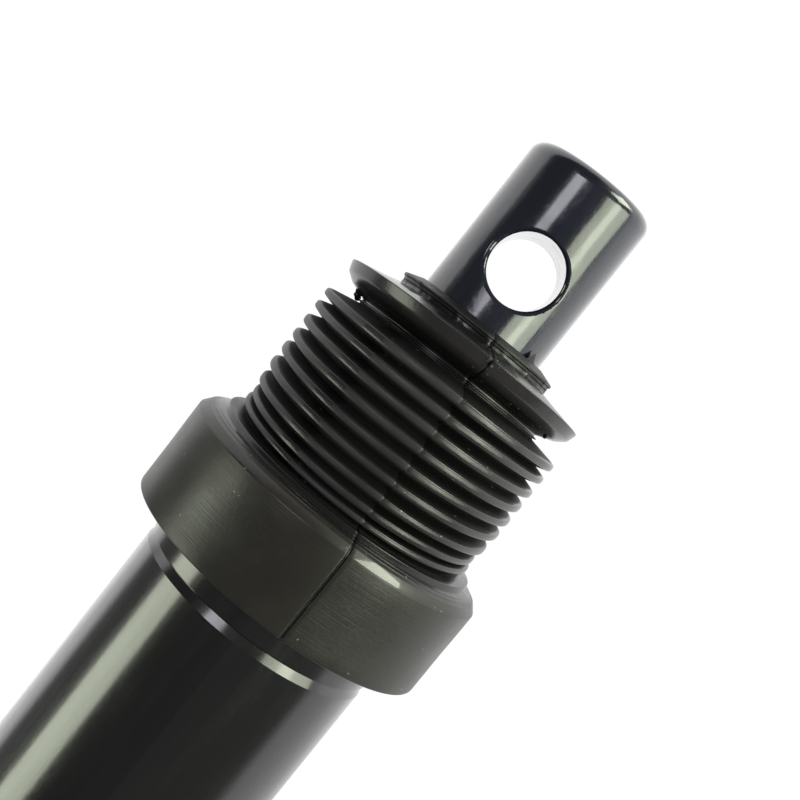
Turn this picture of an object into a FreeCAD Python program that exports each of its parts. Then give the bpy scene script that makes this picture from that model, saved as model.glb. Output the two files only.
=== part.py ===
import FreeCAD, Part
import math
import os

import Sketcher

# A single acting ram with a rubber boot over its rod end.
# The ram lies along X, from the base eye at the origin to the rod end, and both pin holes run along Z.
# It rests on the face of its port boss and on the round cuff of the boot, so the port points down.

# Driving dimensions, in millimetres
DRIVING_SIZES = {
    "rod_diameter": 30.0,
    "packing_width": 7.5,
    "tube_wall": 6.0,
    "stroke": 100.0,
    "running_gap": 0.06,
    # Base lug
    "eye_to_tube": 26.0,
    "eye_radius": 18.0,
    "eye_thickness": 28.0,
    "eye_hole_diameter": 16.0,
    "eye_chamfer": 1.2,
    "lug_disc_length": 8.0,
    "lug_spigot_length": 8.0,
    "lug_spigot_gap": 0.1,
    # Base weld
    "weld_groove": 2.5,
    "weld_crown": 0.8,
    # Rod foot, stop collar and snap rings
    "foot_clearance": 2.0,
    "foot_length": 11.0,
    "snap_ring_thickness": 1.8,
    "snap_ring_grip": 1.2,
    "snap_ring_height": 2.6,
    "snap_ring_opening": 24.0,
    "snap_groove_play": 0.1,
    "stop_length": 18.0,
    "stop_side_gap": 0.3,
    "stop_end_play": 0.2,
    "stop_edge": 0.5,
    "stop_margin": 1.0,
    "oil_hole_diameter": 4.0,
    "oil_hole_count": 4,
    "wear_ring_width": 9.0,
    "wear_ring_depth": 1.6,
    "wear_ring_opening": 6.0,
    # Guide and packing
    "guide_ring_thickness": 2.0,
    "guide_length": 18.0,
    "guide_relief_depth": 0.8,
    "guide_relief_length": 6.0,
    "vee_rise": 2.5,
    "vee_thickness": 3.0,
    "vee_count": 4,
    "bottom_ring_base": 2.0,
    "top_ring_length": 4.0,
    # Gland nut
    "nut_thread_length": 12.0,
    "nut_thread_depth": 1.5,
    "nut_thread_gap": 0.1,
    "mouth_bevel_length": 2.1,
    "mouth_bevel_depth": 0.7,
    "nut_edge": 0.3,
    "nut_band_length": 7.3,
    "nut_flange_height": 4.0,
    "nut_flange_length": 14.0,
    "nut_flange_chamfer": 1.0,
    "nut_rod_gap": 0.3,
    "spanner_hole_diameter": 6.0,
    "spanner_hole_depth": 4.0,
    "spanner_hole_count": 4,
    "o_ring_section": 2.0,
    "o_ring_from_end": 3.0,
    "o_ring_groove_play": 0.3,
    "wiper_depth": 5.0,
    "wiper_height": 4.4,
    "wiper_lip_length": 2.0,
    # Port boss
    "port_from_tube": 17.0,
    "port_boss_diameter": 22.0,
    "port_hole_diameter": 11.8,
    "port_weld_leg": 2.5,
    "port_face_chamfer": 0.8,
    # Rubber boot
    "cuff_from_tube": 6.3,
    "cuff_wall": 4.1,
    "cuff_length": 20.6,
    "cuff_lip_length": 0.9,
    "cuff_edge": 1.0,
    "cuff_inner_gap": 0.1,
    "shoulder_edge_length": 1.7,
    "shoulder_edge_depth": 1.2,
    "shoulder_step_height": 4.5,
    "shoulder_length": 4.0,
    "shoulder_step_length": 0.3,
    "fold_first": 5.6,
    "fold_pitch": 3.67,
    "fold_count": 9,
    "fold_root_height": 12.3,
    "fold_depth": 3.1,
    "fold_crest_width": 1.6,
    "fold_root_width": 0.5,
    "rubber_wall": 1.2,
    "fold_slot_rim": 0.85,
    "fold_slot_tip": 0.15,
    "lip_root_from_fold": 2.58,
    "lip_root_height": 8.6,
    "lip_root_width": 0.8,
    "lip_under_length": 1.6,
    "lip_under_depth": 4.2,
    "lip_side_length": 2.56,
    "lip_side_depth": 2.2,
    "lip_edge_width": 0.6,
    "lip_top_length": 1.8,
    "collar_wall": 3.8,
    "collar_rim": 0.4,
    "collar_length": 3.0,
    "collar_rod_length": 1.54,
    "boot_rod_gap": 0.3,
    # Rod end
    "rod_pin_from_boot": 13.66,
    "rod_hole_diameter": 16.0,
    "rod_hole_round": 0.8,
    "rod_end_past_pin": 24.4,
    "rod_end_radius": 3.0,
}

# Stations along X and radii that follow from the driving dimensions
DERIVED_SIZES = {
    "rod_radius": "rod_diameter / 2",
    "bore_radius": "rod_radius + packing_width",
    "tube_radius": "bore_radius + tube_wall",
    "tube_start": "eye_to_tube",
    "spigot_end": "tube_start + lug_spigot_length",
    "rod_start": "spigot_end + foot_clearance",
    "inner_snap_start": "rod_start + foot_length",
    "stop_start": "inner_snap_start + snap_ring_thickness + stop_end_play",
    "stop_end": "stop_start + stop_length",
    "outer_snap_start": "stop_end + stop_end_play",
    "outer_snap_end": "outer_snap_start + snap_ring_thickness",
    "guide_ring_start": "outer_snap_end + stroke + stop_margin",
    "guide_start": "guide_ring_start + guide_ring_thickness",
    "guide_end": "guide_start + guide_length",
    "vee_start": "guide_end + bottom_ring_base",
    "vee_end": "vee_start + vee_count * vee_thickness",
    "packing_end": "vee_end + top_ring_length",
    "tube_end": "packing_end + nut_thread_length",
    "thread_radius": "bore_radius + nut_thread_depth",
    "flange_start": "tube_end + nut_band_length",
    "flange_end": "flange_start + nut_flange_length",
    "flange_radius": "tube_radius + nut_flange_height",
    "wiper_start": "flange_end - wiper_depth",
    "wiper_radius": "rod_radius + wiper_height",
    "cuff_start": "tube_end + cuff_from_tube",
    "cuff_end": "cuff_start + cuff_length",
    "cuff_bore_radius": "flange_radius + cuff_inner_gap",
    "cuff_radius": "cuff_bore_radius + cuff_wall",
    "shoulder_end": "cuff_end + shoulder_length",
    "first_crest": "cuff_end + fold_first",
    "last_crest": "first_crest + (fold_count - 1) * fold_pitch",
    "root_radius": "rod_radius + fold_root_height",
    "crest_radius": "root_radius + fold_depth",
    "sleeve_radius": "root_radius - rubber_wall",
    "lip_root": "last_crest + lip_root_from_fold",
    "lip_root_radius": "rod_radius + lip_root_height",
    "lip_under": "lip_root + lip_root_width + lip_under_length",
    "lip_under_radius": "lip_root_radius + lip_under_depth",
    "lip_edge": "lip_under + lip_side_length",
    "lip_radius": "lip_under_radius + lip_side_depth",
    "collar_start": "lip_edge + lip_edge_width + lip_top_length",
    "collar_end": "collar_start + collar_length",
    "boot_end": "collar_end + collar_rod_length",
    "boot_bore_radius": "rod_radius + boot_rod_gap",
    "collar_radius": "boot_bore_radius + collar_wall",
    "rod_pin": "boot_end + rod_pin_from_boot",
    "rod_end": "rod_pin + rod_end_past_pin",
    "port_station": "tube_start + port_from_tube",
    "boss_radius": "port_boss_diameter / 2",
}

ALONG_X = FreeCAD.Rotation(FreeCAD.Vector(0, 1, 0), 90)
BAD_STATES = ("Invalid", "Error")

document = FreeCAD.newDocument("single_acting_ram")


def fill_sheet():
    """One row a size: its name, then its value or the sum it follows from."""
    sheet = document.addObject("Spreadsheet::Sheet", "dims")
    rows = [(name, str(size)) for name, size in DRIVING_SIZES.items()]
    rows += [(name, "=" + formula) for name, formula in DERIVED_SIZES.items()]
    for row, (name, content) in enumerate(rows, start=1):
        sheet.set(f"A{row}", name)
        sheet.set(f"B{row}", content)
        sheet.setAlias(f"B{row}", name)
    document.recompute()
    return sheet


dims = fill_sheet()


def bound(formula):
    """The formula with each size's name pointed at the sheet."""
    words = formula.replace("(", " ( ").replace(")", " ) ").split()
    named = DRIVING_SIZES.keys() | DERIVED_SIZES.keys()
    return " ".join(f"dims.{word}" if word in named else word for word in words)


def value(formula):
    return float(dims.evalExpression(bound(formula)))


def origin_feature(body, role):
    return next(item for item in body.Origin.OriginFeatures if item.Role == role)


def new_body(node):
    body = document.addObject("PartDesign::Body", "body_" + node)
    body.Label = node
    return body


def new_sketch(body, name, role="XZ_Plane", offset=None):
    """A sketch on one of the body's own origin planes, moved along its normal by the offset."""
    sketch = body.newObject("Sketcher::SketchObject", name)
    sketch.AttachmentSupport = [(origin_feature(body, role), "")]
    sketch.MapMode = "FlatFace"
    if offset is not None:
        sketch.setExpression("AttachmentOffset.Base.z", bound(offset))
    return sketch


def hold_point(sketch, line, end, across, up):
    """Ties a point of the sketch to its two formulas, or to the axis it lies on."""
    for kind, formula, axis in (("DistanceX", across, -2), ("DistanceY", up, -1)):
        if formula == "0":
            sketch.addConstraint(Sketcher.Constraint("PointOnObject", line, end, axis))
            continue
        number = sketch.addConstraint(Sketcher.Constraint(kind, -1, 1, line, end, value(formula)))
        sketch.setExpression(f"Constraints[{number}]", bound(formula))


def add_outline(sketch, corners):
    """A closed outline of straight sides through the corners, each held by its own two formulas."""
    points = [FreeCAD.Vector(value(across), value(up), 0) for across, up in corners]
    following = points[1:] + points[:1]
    lines = [sketch.addGeometry(Part.LineSegment(a, b), False) for a, b in zip(points, following)]
    for line, next_line in zip(lines, lines[1:] + lines[:1]):
        sketch.addConstraint(Sketcher.Constraint("Coincident", line, 2, next_line, 1))
    for line, (across, up) in zip(lines, corners):
        hold_point(sketch, line, 1, across, up)
    return lines


def add_circle(sketch, across, up, diameter):
    centre = FreeCAD.Vector(value(across), value(up), 0)
    radius = value(diameter) / 2
    circle = sketch.addGeometry(Part.Circle(centre, FreeCAD.Vector(0, 0, 1), radius), False)
    hold_point(sketch, circle, 3, across, up)
    number = sketch.addConstraint(Sketcher.Constraint("Diameter", circle, 2 * radius))
    sketch.setExpression(f"Constraints[{number}]", bound(diameter))
    return circle


def turn(body, name, corners, kind="Revolution", angle="360"):
    """Turns an outline of (station along X, radius) corners about X: metal added, or a groove cut."""
    sketch = new_sketch(body, name + "_outline")
    add_outline(sketch, corners)
    feature = body.newObject("PartDesign::" + kind, name)
    feature.Profile = sketch
    feature.ReferenceAxis = (sketch, ["H_Axis"])
    feature.setExpression("Angle", bound(angle))
    sketch.Visibility = False
    document.recompute()
    return feature


def drill(body, name, sketch, length=None):
    """Cuts the sketch's circles: to a depth against its normal, or right through both ways."""
    before = body.Shape.Volume
    feature = body.newObject("PartDesign::Pocket", name)
    feature.Profile = sketch
    if length is None:
        feature.SideType = "Symmetric"
        feature.Type = "ThroughAll"
    else:
        feature.Type = "Length"
        feature.setExpression("Length", bound(length))
    document.recompute()
    if body.Shape.Volume >= before:
        raise RuntimeError(f"{name} cuts nothing")
    return feature


def edges_where(shape, test):
    return [f"Edge{number}" for number, edge in enumerate(shape.Edges, start=1) if test(edge)]


def bevel(body, name, base, test, size):
    feature = body.newObject("PartDesign::Chamfer", name)
    feature.Base = (base, edges_where(base.Shape, test))
    feature.setExpression("Size", bound(size))
    document.recompute()
    return feature


def repeat_round(body, name, original, count):
    pattern = body.newObject("PartDesign::PolarPattern", name)
    pattern.Originals = [original]
    pattern.Axis = (origin_feature(body, "X_Axis"), [""])
    pattern.Angle = 360
    pattern.setExpression("Occurrences", bound(count))
    body.Tip = pattern
    document.recompute()
    return pattern


def repeat_along(body, name, original, count, pitch):
    pattern = body.newObject("PartDesign::LinearPattern", name)
    pattern.Originals = [original]
    pattern.Direction = (origin_feature(body, "X_Axis"), [""])
    pattern.setExpression("Length", bound(f"( {count} - 1 ) * {pitch}"))
    pattern.setExpression("Occurrences", bound(count))
    body.Tip = pattern
    document.recompute()
    return pattern


# Base lug: one forging with a spigot in the tube, a disc as wide as the tube and a flat eye
def make_base_lug():
    body = new_body("base_lug")
    turn(body, "lug_disc", [
        ("tube_start - lug_disc_length", "0"),
        ("spigot_end", "0"),
        ("spigot_end", "bore_radius - lug_spigot_gap"),
        ("tube_start", "bore_radius - lug_spigot_gap"),
        ("tube_start", "tube_radius - weld_groove"),
        ("tube_start - weld_groove", "tube_radius"),
        ("tube_start - lug_disc_length + eye_chamfer", "tube_radius"),
        ("tube_start - lug_disc_length", "tube_radius - eye_chamfer"),
    ])
    sketch = new_sketch(body, "eye_outline", "XY_Plane")
    eye_radius = value("eye_radius")
    reach = value("tube_start - lug_disc_length + eye_chamfer")
    corners = [FreeCAD.Vector(x, y, 0) for x, y in (
        (0, -eye_radius), (reach, -eye_radius), (reach, eye_radius), (0, eye_radius))]
    sides = [sketch.addGeometry(Part.LineSegment(a, b), False) for a, b in zip(corners, corners[1:])]
    round_end = Part.ArcOfCircle(
        Part.Circle(FreeCAD.Vector(), FreeCAD.Vector(0, 0, 1), eye_radius), math.pi / 2, 3 * math.pi / 2)
    arc = sketch.addGeometry(round_end, False)
    lower, back, upper = sides
    joined = (
        (lower, 2, back, 1), (back, 2, upper, 1), (upper, 2, arc, 1), (arc, 2, lower, 1), (arc, 3, -1, 1))
    for first, first_end, second, second_end in joined:
        sketch.addConstraint(Sketcher.Constraint("Coincident", first, first_end, second, second_end))
    hold_point(sketch, lower, 1, "0", "-1 * eye_radius")
    hold_point(sketch, back, 1, "tube_start - lug_disc_length + eye_chamfer", "-1 * eye_radius")
    hold_point(sketch, upper, 1, "tube_start - lug_disc_length + eye_chamfer", "eye_radius")
    sketch.addConstraint(Sketcher.Constraint("PointOnObject", upper, 2, -2))
    pad = body.newObject("PartDesign::Pad", "eye")
    pad.Profile = sketch
    pad.SideType = "Symmetric"
    pad.setExpression("Length", bound("eye_thickness"))
    document.recompute()
    hole_sketch = new_sketch(body, "eye_hole_outline", "XY_Plane")
    add_circle(hole_sketch, "0", "0", "eye_hole_diameter")
    hole = drill(body, "eye_hole", hole_sketch)
    half = value("eye_thickness") / 2
    limit = value("tube_start - lug_disc_length") - value("eye_chamfer")

    def on_eye_rim(edge):
        box = edge.BoundBox
        flat = abs(abs(box.ZMin) - half) < 1e-3 and abs(abs(box.ZMax) - half) < 1e-3
        return flat and box.ZLength < 1e-3 and box.XMin < limit

    bevel(body, "eye_edges", hole, on_eye_rim, "eye_chamfer")
    return body


# Weld bead in the groove between the lug's disc and the tube
def make_base_weld():
    body = new_body("base_weld")
    sketch = new_sketch(body, "bead_outline")
    left, right = "tube_start - weld_groove", "tube_start + weld_groove"
    start = FreeCAD.Vector(value(left), value("tube_radius"), 0)
    end = FreeCAD.Vector(value(right), value("tube_radius"), 0)
    crown = FreeCAD.Vector(value("tube_start"), value("tube_radius + weld_crown"), 0)
    root = FreeCAD.Vector(value("tube_start"), value("tube_radius - weld_groove"), 0)
    up_side = sketch.addGeometry(Part.LineSegment(root, start), False)
    down_side = sketch.addGeometry(Part.LineSegment(end, root), False)
    arc = sketch.addGeometry(Part.Arc(end, crown, start), False)
    sketch.addConstraint(Sketcher.Constraint("Coincident", down_side, 2, up_side, 1))
    sketch.addConstraint(Sketcher.Constraint("Coincident", arc, 1, down_side, 1))
    sketch.addConstraint(Sketcher.Constraint("Coincident", arc, 2, up_side, 2))
    hold_point(sketch, up_side, 1, "tube_start", "tube_radius - weld_groove")
    hold_point(sketch, up_side, 2, left, "tube_radius")
    hold_point(sketch, down_side, 1, right, "tube_radius")
    radius = "( weld_groove * weld_groove + weld_crown * weld_crown ) / ( 2 * weld_crown )"
    number = sketch.addConstraint(Sketcher.Constraint("Radius", arc, value(radius)))
    sketch.setExpression(f"Constraints[{number}]", bound(radius))
    bead = body.newObject("PartDesign::Revolution", "bead")
    bead.Profile = sketch
    bead.ReferenceAxis = (sketch, ["H_Axis"])
    bead.Angle = 360
    document.recompute()
    return body


# Barrel tube: bore, snap ring groove, threaded mouth and the hole under the port boss
def make_barrel_tube():
    body = new_body("barrel_tube")
    groove_radius = "bore_radius + snap_ring_grip"
    turn(body, "tube", [
        ("tube_start", "bore_radius"),
        ("tube_start", "tube_radius - weld_groove"),
        ("tube_start + weld_groove", "tube_radius"),
        ("tube_end - mouth_bevel_length", "tube_radius"),
        ("tube_end", "tube_radius - mouth_bevel_depth"),
        ("tube_end", "thread_radius"),
        ("packing_end", "thread_radius"),
        ("packing_end", "bore_radius"),
        ("guide_start", "bore_radius"),
        ("guide_start", groove_radius),
        ("guide_ring_start - snap_groove_play", groove_radius),
        ("guide_ring_start - snap_groove_play", "bore_radius"),
    ])
    sketch = new_sketch(body, "port_hole_outline", "XY_Plane")
    add_circle(sketch, "port_station", "0", "port_hole_diameter")
    drill(body, "port_hole", sketch, "tube_radius")
    return body


def turned_ring(node, corners, angle="360"):
    body = new_body(node)
    turn(body, node + "_ring", corners, angle=angle)
    return body


def rectangle(start, end, inner, outer):
    return [(start, inner), (end, inner), (end, outer), (start, outer)]


# Stop collar: keeps the rod in the barrel and steadies its foot, with oil holes through it
def make_stop_collar():
    body = new_body("stop_collar")
    outer = "bore_radius - stop_side_gap"
    groove = "bore_radius - stop_side_gap - wear_ring_depth"
    middle = "( stop_start + stop_end ) / 2"
    turn(body, "collar_body", [
        ("stop_start", "rod_radius + running_gap"),
        ("stop_end", "rod_radius + running_gap"),
        ("stop_end", outer + " - stop_edge"),
        ("stop_end - stop_edge", outer),
        (middle + " + wear_ring_width / 2 + snap_groove_play", outer),
        (middle + " + wear_ring_width / 2 + snap_groove_play", groove),
        (middle + " - wear_ring_width / 2 - snap_groove_play", groove),
        (middle + " - wear_ring_width / 2 - snap_groove_play", outer),
        ("stop_start + stop_edge", outer),
        ("stop_start", outer + " - stop_edge"),
    ])
    sketch = new_sketch(body, "oil_hole_outline", "YZ_Plane", "stop_end")
    middle_radius = "( rod_radius + bore_radius - stop_side_gap - wear_ring_depth ) / 2"
    add_circle(sketch, "0", middle_radius, "oil_hole_diameter")
    hole = drill(body, "oil_hole", sketch, "stop_length")
    repeat_round(body, "oil_holes", hole, "oil_hole_count")
    return body


def make_stop_parts():
    middle = "( stop_start + stop_end ) / 2"
    make_stop_collar()
    wear_section = rectangle(
        middle + " - wear_ring_width / 2", middle + " + wear_ring_width / 2",
        "bore_radius - stop_side_gap - wear_ring_depth", "bore_radius - running_gap")
    turned_ring("stop_wear_ring", wear_section, "360 - wear_ring_opening")
    inner = "rod_radius - snap_ring_grip"
    outer = inner + " + snap_ring_height"
    for side in ("inner", "outer"):
        start = side + "_snap_start"
        section = rectangle(start, start + " + snap_ring_thickness", inner, outer)
        turned_ring("stop_snap_ring_" + side, section, "360 - snap_ring_opening")


# Guide: a snap ring in the tube's groove carries the bush that the rod slides in
def make_guide():
    groove = "bore_radius + snap_ring_grip"
    section = rectangle(
        "guide_ring_start", "guide_start", groove + " - snap_ring_height", groove + " - snap_groove_play")
    turned_ring("guide_snap_ring", section, "360 - snap_ring_opening")
    inner = "rod_radius + running_gap"
    relief = inner + " + guide_relief_depth"
    middle = "( guide_start + guide_end ) / 2"
    turned_ring("guide_bushing", [
        ("guide_start", inner),
        (middle + " - guide_relief_length / 2", inner),
        (middle + " - guide_relief_length / 2", relief),
        (middle + " + guide_relief_length / 2", relief),
        (middle + " + guide_relief_length / 2", inner),
        ("guide_end", inner),
        ("guide_end", "bore_radius - running_gap"),
        ("guide_start", "bore_radius - running_gap"),
    ])


def vee_side(station):
    """The three corners of a vee across the packing's space, from the rod out to the bore."""
    ridge = (station + " + vee_rise", "( rod_radius + bore_radius ) / 2")
    return [(station, "rod_radius + running_gap"), ridge, (station, "bore_radius - running_gap")]


# Packing: a ridged bottom ring, nested vee rings and a hollow top ring
def make_packing():
    inner, outer = "rod_radius + running_gap", "bore_radius - running_gap"
    ridged = [("guide_end", inner)] + vee_side("vee_start") + [("guide_end", outer)]
    turned_ring("packing_bottom_ring", ridged)
    for number in range(int(DRIVING_SIZES["vee_count"])):
        low = f"vee_start + {number} * vee_thickness"
        high = f"vee_start + {number + 1} * vee_thickness"
        turned_ring(f"packing_vee_{number + 1}", vee_side(low) + vee_side(high)[::-1])
    hollow = vee_side("vee_end") + [("packing_end", outer), ("packing_end", inner)]
    turned_ring("packing_top_ring", hollow)


# Gland nut: threaded spigot, band as wide as the tube, and the flange that the boot's cuff grips
def make_gland_nut():
    body = new_body("gland_nut")
    inner = "rod_radius + nut_rod_gap"
    spigot = "thread_radius - nut_thread_gap"
    o_ring = "packing_end + o_ring_from_end"
    groove_end = o_ring + " + o_ring_section + o_ring_groove_play"
    groove_radius = spigot + " - o_ring_section"
    rim = "flange_radius - nut_flange_chamfer"
    turn(body, "nut_body", [
        ("packing_end", inner),
        ("wiper_start", inner),
        ("wiper_start", "wiper_radius"),
        ("flange_end", "wiper_radius"),
        ("flange_end", rim),
        ("flange_end - nut_flange_chamfer", "flange_radius"),
        ("flange_start + nut_flange_chamfer", "flange_radius"),
        ("flange_start", rim),
        ("flange_start", "tube_radius"),
        ("tube_end + nut_edge", "tube_radius"),
        ("tube_end", "tube_radius - nut_edge"),
        ("tube_end", spigot),
        (groove_end, spigot),
        (groove_end, groove_radius),
        (o_ring, groove_radius),
        (o_ring, spigot),
        ("packing_end", spigot),
    ])
    sketch = new_sketch(body, "spanner_hole_outline", "XY_Plane", "flange_radius")
    add_circle(sketch, "( flange_start + flange_end ) / 2", "0", "spanner_hole_diameter")
    hole = drill(body, "spanner_hole", sketch, "spanner_hole_depth")
    repeat_round(body, "spanner_holes", hole, "spanner_hole_count")
    return body


def make_gland_o_ring():
    ring = document.addObject("Part::Torus", "gland_o_ring")
    ring.Label = "gland_o_ring"
    ring.setExpression("Radius1", bound("thread_radius - nut_thread_gap / 2 - o_ring_section / 2"))
    ring.setExpression("Radius2", bound("o_ring_section / 2 - nut_thread_gap / 2"))
    ring.Placement = FreeCAD.Placement(FreeCAD.Vector(), ALONG_X)
    ring.setExpression("Placement.Base.x", bound(
        "packing_end + o_ring_from_end + ( o_ring_section + o_ring_groove_play ) / 2"))
    return ring


# Wiper: sits in the nut's top recess, with a thin lip along the rod
def make_wiper_ring():
    inner = "rod_radius + running_gap"
    turned_ring("wiper_ring", [
        ("wiper_start", inner + " + wiper_height / 4"),
        ("wiper_start", "wiper_radius - running_gap"),
        ("flange_end - running_gap", "wiper_radius - running_gap"),
        ("flange_end - running_gap", inner + " + wiper_height / 2"),
        ("flange_end + wiper_lip_length", inner + " + wiper_height / 4"),
        ("flange_end + wiper_lip_length", inner),
    ])


# Port boss: a round boss saddled on the tube, its face level with the side of the boot's cuff
def make_port():
    envelope = document.addObject("Part::Cylinder", "tube_envelope")
    envelope.setExpression("Radius", bound("tube_radius"))
    envelope.setExpression("Height", bound("tube_end - tube_start"))
    envelope.Placement = FreeCAD.Placement(FreeCAD.Vector(), ALONG_X)
    envelope.setExpression("Placement.Base.x", bound("tube_start"))

    def upright(kind, name, sizes, base):
        shape = document.addObject("Part::" + kind, name)
        for size, formula in sizes.items():
            shape.setExpression(size, bound(formula))
        shape.setExpression("Placement.Base.x", bound("port_station"))
        shape.setExpression("Placement.Base.z", bound(base))
        return shape

    def combine(kind, name, base, tool):
        result = document.addObject("Part::" + kind, name)
        result.Base = base
        result.Tool = tool
        return result

    def cut(name, base, tool):
        return combine("Cut", name, base, tool)

    face = "-1 * cuff_radius"
    block_sizes = {"Radius": "boss_radius", "Height": "cuff_radius - port_face_chamfer"}
    block = upright("Cylinder", "boss_block", block_sizes, face + " + port_face_chamfer")
    edge_sizes = {
        "Radius1": "boss_radius - port_face_chamfer",
        "Radius2": "boss_radius",
        "Height": "port_face_chamfer",
    }
    edge = upright("Cone", "boss_edge", edge_sizes, face)
    hole = upright("Cylinder", "boss_hole", {
        "Radius": "port_hole_diameter / 2", "Height": "cuff_radius"}, face)
    blank = combine("Fuse", "boss_blank", block, edge)
    boss = cut("port_boss", cut("boss_saddle", blank, envelope), hole)
    boss.Label = "port_boss"

    lowest = "-1 * ( tube_radius + port_weld_leg )"
    slope_sizes = {
        "Radius1": "boss_radius", "Radius2": "boss_radius + port_weld_leg", "Height": "port_weld_leg"}
    slope = upright("Cone", "weld_slope", slope_sizes, lowest)
    skirt = upright("Cylinder", "weld_skirt", {
        "Radius": "boss_radius + port_weld_leg", "Height": "tube_radius"}, "-1 * tube_radius")
    ring = combine("Fuse", "weld_blank", slope, skirt)
    core = upright("Cylinder", "weld_core", {"Radius": "boss_radius", "Height": "cuff_radius"}, lowest)
    weld = cut("port_weld", cut("weld_saddle", ring, envelope), core)
    weld.Label = "port_weld"
    return boss, weld


# Rubber boot: one moulding of cuff, shoulder, folds, one wide open fold and an end collar
def make_rubber_boot():
    body = new_body("rubber_boot")
    band_bore = "tube_radius + cuff_inner_gap"
    edge_end = "lip_edge + lip_edge_width"
    turn(body, "sleeve", [
        ("cuff_start", band_bore),
        ("cuff_start", "cuff_radius - cuff_edge"),
        ("cuff_start + cuff_edge", "cuff_radius"),
        ("cuff_end", "cuff_radius"),
        ("cuff_end + shoulder_edge_length", "cuff_radius - shoulder_edge_depth"),
        ("shoulder_end - shoulder_step_length", "root_radius + shoulder_step_height"),
        ("shoulder_end", "root_radius + shoulder_step_height"),
        ("shoulder_end + fold_root_width / 2", "root_radius"),
        ("last_crest + fold_pitch / 2", "root_radius"),
        ("lip_root", "lip_root_radius"),
        ("lip_root + lip_root_width", "lip_root_radius"),
        ("lip_under", "lip_under_radius"),
        ("lip_edge", "lip_radius"),
        (edge_end, "lip_radius"),
        ("collar_start", "collar_radius"),
        ("collar_end", "collar_radius + collar_rim"),
        ("boot_end", "boot_bore_radius + rubber_wall / 2"),
        ("boot_end", "boot_bore_radius"),
        ("collar_start - rubber_wall", "boot_bore_radius"),
        ("collar_start - rubber_wall", "collar_radius - rubber_wall"),
        ("lip_edge", "lip_radius - rubber_wall"),
        ("lip_under + rubber_wall", "lip_under_radius - rubber_wall"),
        ("lip_root + rubber_wall", "lip_root_radius - rubber_wall"),
        ("lip_root - rubber_wall / 4", "lip_root_radius - rubber_wall"),
        ("last_crest + fold_pitch / 2 - rubber_wall / 4", "sleeve_radius"),
        ("flange_end", "sleeve_radius"),
        ("flange_end", "cuff_bore_radius"),
        ("cuff_start + cuff_lip_length", "cuff_bore_radius"),
        ("cuff_start + cuff_lip_length", band_bore),
    ])
    crest_half = "fold_crest_width / 2"
    root_half = "( fold_pitch - fold_root_width ) / 2"
    fold = turn(body, "fold", [
        ("first_crest - " + root_half, "root_radius - rubber_wall / 2"),
        ("first_crest - " + crest_half, "crest_radius"),
        ("first_crest + " + crest_half, "crest_radius"),
        ("first_crest + " + root_half, "root_radius - rubber_wall / 2"),
    ])
    repeat_along(body, "folds", fold, "fold_count", "fold_pitch")
    mouth_half = "( fold_pitch / 2 - fold_slot_rim )"
    slot = turn(body, "fold_slot", [
        ("first_crest - " + mouth_half, "sleeve_radius - rubber_wall / 4"),
        ("first_crest - fold_slot_tip", "crest_radius - rubber_wall"),
        ("first_crest + fold_slot_tip", "crest_radius - rubber_wall"),
        ("first_crest + " + mouth_half, "sleeve_radius - rubber_wall / 4"),
    ], kind="Groove")
    repeat_along(body, "fold_slots", slot, "fold_count", "fold_pitch")
    return body


# Rod: turned bar with two snap ring grooves at its foot and a plain cross hole near its end
def make_rod():
    body = new_body("rod")
    groove = "rod_radius - snap_ring_grip"
    end_radius = value("rod_end_radius")

    def groove_corners(start):
        low = start + " - snap_groove_play"
        high = start + " + snap_ring_thickness + snap_groove_play"
        return [(low, "rod_radius"), (low, groove), (high, groove), (high, "rod_radius")]

    bar = turn(body, "bar", [
        ("rod_start", "0"),
        ("rod_start", "rod_radius - snap_ring_grip"),
        ("rod_start + snap_ring_grip", "rod_radius"),
    ] + groove_corners("inner_snap_start") + groove_corners("outer_snap_start") + [
        ("rod_end", "rod_radius"),
        ("rod_end", "0"),
    ])
    end_station = value("rod_end")
    rounding = body.newObject("PartDesign::Fillet", "rod_end_round")
    rounding.Base = (bar, edges_where(bar.Shape, lambda edge: edge.BoundBox.XMin > end_station - 1e-3))
    rounding.setExpression("Radius", bound("rod_end_radius"))
    document.recompute()
    sketch = new_sketch(body, "rod_hole_outline", "XY_Plane")
    add_circle(sketch, "rod_pin", "0", "rod_hole_diameter")
    hole = drill(body, "rod_hole", sketch)
    pin, reach = value("rod_pin"), value("rod_hole_diameter") / 2

    def on_hole_rim(edge):
        box = edge.BoundBox
        across = abs(box.XMin - pin + reach) < 0.01 and abs(box.XMax - pin - reach) < 0.01
        return across and box.ZMin * box.ZMax > 0

    rim = body.newObject("PartDesign::Fillet", "rod_hole_rim")
    rim.Base = (hole, edges_where(hole.Shape, on_hole_rim))
    rim.setExpression("Radius", bound("rod_hole_round"))
    document.recompute()
    return body


def make_everything():
    make_base_lug()
    make_base_weld()
    make_barrel_tube()
    make_port()
    make_gland_nut()
    make_gland_o_ring()
    make_wiper_ring()
    make_packing()
    make_guide()
    make_stop_parts()
    make_rod()
    make_rubber_boot()
    document.recompute()


def finished_pieces():
    """The pieces of the ram, without the envelope and the blanks that only shape them."""
    bodies = [item for item in document.Objects if item.TypeId == "PartDesign::Body"]
    others = [document.getObject(name) for name in ("port_boss", "port_weld", "gland_o_ring")]
    return bodies + others


def check_pieces(pieces):
    for item in document.Objects:
        if any(state in BAD_STATES for state in item.State):
            raise RuntimeError(f"{item.Label} failed: {item.State}")
    for piece in pieces:
        shape = piece.Shape
        if shape.isNull() or not shape.isValid() or not shape.Solids:
            raise RuntimeError(f"{piece.Label} has no valid solid")


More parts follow.
